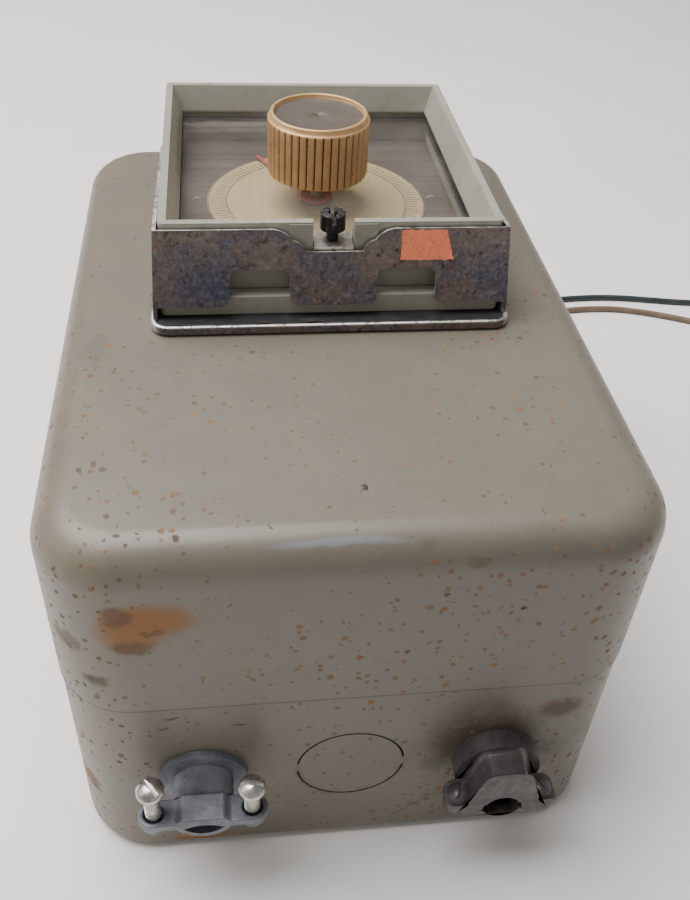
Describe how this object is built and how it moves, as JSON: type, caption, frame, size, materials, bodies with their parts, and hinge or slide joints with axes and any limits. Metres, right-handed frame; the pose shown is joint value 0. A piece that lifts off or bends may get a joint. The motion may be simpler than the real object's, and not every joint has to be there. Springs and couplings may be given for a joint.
{
  "type": "dial timer control box",
  "caption": "Drawn-steel enclosure lying on its back, with a plug-in dial timer through its cover, cable clamps at one end and wire leads at the other.",
  "frame": {"origin": "centre of the back face that goes against the wall", "axes": "+Z out of the wall through the timer, +Y along the box away from the cable clamps, +X to the right seen from the clamp end"},
  "size_m": [0.3832, 0.36, 0.1917],
  "materials": {
    "enclosure_paint": "aged enamel",
    "aged_steel": "dull, lightly rusted",
    "gasket_rubber": "matt",
    "tarnished_plate": "tarnished plating",
    "bezel_grey": "moulded",
    "orange_label": "torn paper",
    "case_steel": "satin",
    "phenolic": "moulded",
    "contact_brass": "dull",
    "bright_steel": "satin",
    "window_clear": "clear",
    "dial_taupe": "satin",
    "disc_cream": "printed",
    "black_screw": "black oxide",
    "knob_tan": "moulded",
    "knob_metal": "spun",
    "pointer_red": "enamel",
    "chassis_aluminium": "mill",
    "motor_steel": "plated",
    "spring_steel": "blued",
    "coil_varnish": "varnished",
    "zinc_clamp": "die-cast zinc",
    "dark_clamp": "oxidised",
    "black_insulation": "satin",
    "tan_insulation": "satin",
    "copper_strand": "stranded copper"
  },
  "bodies": {
    "enclosure": {"back_box": "enclosure_paint", "cover_brackets": "enclosure_paint", "cover": "enclosure_paint", "cover_screws": "aged_steel", "panel_gasket": "gasket_rubber", "timer_frame": "tarnished_plate", "frame_nuts": "aged_steel", "timer_gasket": "gasket_rubber", "timer_collar": "bezel_grey", "label_remnant": "orange_label", "timer_case": "case_steel", "contact_block": "phenolic", "contact_springs": "contact_brass", "terminal_screws": "contact_brass", "lock_nut": "bright_steel", "left_clamp_body": "zinc_clamp", "left_clamp_screws": "bright_steel", "left_locknut": "aged_steel", "right_clamp_body": "dark_clamp", "right_clamp_strap": "dark_clamp", "right_clamp_screws": "dark_clamp", "right_locknut": "aged_steel", "lead_bushing": "gasket_rubber", "inner_leads": "tan_insulation", "black_lead": "black_insulation", "tan_lead": "tan_insulation", "lead_ends": "copper_strand"},
    "timer_module": {"bezel": "bezel_grey", "window": "window_clear", "window_gasket": "gasket_rubber", "dial_plate": "dial_taupe", "scale_disc": "disc_cream", "latch_bracket": "bright_steel", "shaft_bushing": "contact_brass", "front_plate": "chassis_aluminium", "back_plate": "phenolic", "chassis_posts": "bright_steel", "gear_plate": "chassis_aluminium", "gear_bridge": "chassis_aluminium", "contact_blades": "contact_brass", "motor": "motor_steel", "return_spring": "spring_steel", "clutch_coil": "coil_varnish", "snap_switches": "phenolic"},
    "captive_screw": {"captive_screw": "black_screw"},
    "knob": {"knob": "knob_tan", "knob_cap": "knob_metal", "knob_shaft": "bright_steel", "set_pointer": "pointer_red"},
    "motor_pinion": {"motor_pinion": "contact_brass"},
    "idler_gear": {"idler_gear": "contact_brass"},
    "timing_wheel": {"timing_wheel": "contact_brass"},
    "trip_lever": {"trip_lever": "bright_steel"},
    "left_strap": {"left_clamp_strap": "zinc_clamp"}
  },
  "joints": [
    {"name": "timer_draw_out", "type": "slide", "parent": "enclosure", "child": "timer_module", "axis": [0, 0, 1], "range_m": [0, 0.11]},
    {"name": "captive_screw_turn", "type": "hinge", "parent": "timer_module", "child": "captive_screw", "pos_m": [0.0006, -0.0096, 0.1712], "axis": [0, 0, 1], "continuous": true},
    {"name": "knob_turn", "type": "hinge", "parent": "timer_module", "child": "knob", "pos_m": [0.0006, 0.0435, 0.15], "axis": [0, 0, -1], "range_deg": [0, 300]},
    {"name": "wheel_turn", "type": "hinge", "parent": "timer_module", "child": "timing_wheel", "pos_m": [0.0006, 0.0435, 0.115], "axis": [0, 0, 1], "range_deg": [0, 300]},
    {"name": "idler_turn", "type": "hinge", "parent": "timer_module", "child": "idler_gear", "pos_m": [0.0006, 0.0735, 0.115], "axis": [0, 0, 1], "range_deg": [-1200, 0]},
    {"name": "pinion_turn", "type": "hinge", "parent": "timer_module", "child": "motor_pinion", "pos_m": [-0.0234, 0.0735, 0.115], "axis": [0, 0, 1], "range_deg": [0, 4800]},
    {"name": "trip_lever_swing", "type": "hinge", "parent": "timer_module", "child": "trip_lever", "pos_m": [0.0366, 0.018, 0.11], "axis": [0, 0, 1], "range_deg": [0, 8], "stiffness_Nm_per_rad": 0.02},
    {"name": "left_strap_lift", "type": "slide", "parent": "enclosure", "child": "left_strap", "axis": [0, 0, 1], "range_m": [0, 0.0098]}
  ],
  "couplings": [
    {"joint": "idler_turn", "follows": "pinion_turn", "ratio": -0.25},
    {"joint": "wheel_turn", "follows": "pinion_turn", "ratio": 0.0625}
  ]
}
